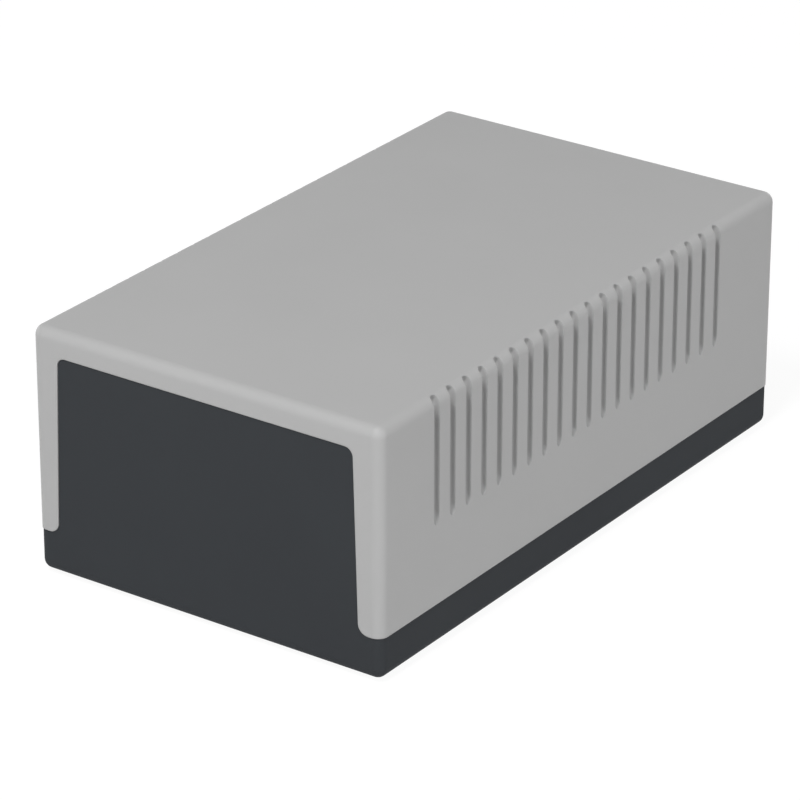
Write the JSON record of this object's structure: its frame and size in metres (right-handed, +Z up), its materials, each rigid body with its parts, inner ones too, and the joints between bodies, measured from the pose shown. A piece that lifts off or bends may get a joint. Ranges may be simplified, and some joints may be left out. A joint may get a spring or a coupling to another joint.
{
  "type": "plastic project box",
  "caption": "Desktop project box: light moulded cover with grooved sides over a dark base with upright end walls, closed by screws from below, on rubber feet.",
  "frame": {"origin": "on the surface that the feet stand on, under the middle of the box", "axes": "+Z up, the front end wall faces -Y, the grooved sides face +X and -X"},
  "size_m": [0.11, 0.188, 0.071],
  "materials": {
    "light_grey_plastic": "fine moulded texture, low sheen",
    "graphite_plastic": "fine moulded texture, low sheen",
    "screw_zinc": "zinc plated",
    "foot_rubber": "matte"
  },
  "bodies": {
    "root": {"top_shell": "light_grey_plastic", "base_shell": "graphite_plastic", "case_screw_front_left": "screw_zinc", "case_screw_front_right": "screw_zinc", "case_screw_rear_left": "screw_zinc", "case_screw_rear_right": "screw_zinc", "foot_front_left": "foot_rubber", "foot_front_right": "foot_rubber", "foot_rear_left": "foot_rubber", "foot_rear_right": "foot_rubber"}
  },
  "joints": []
}
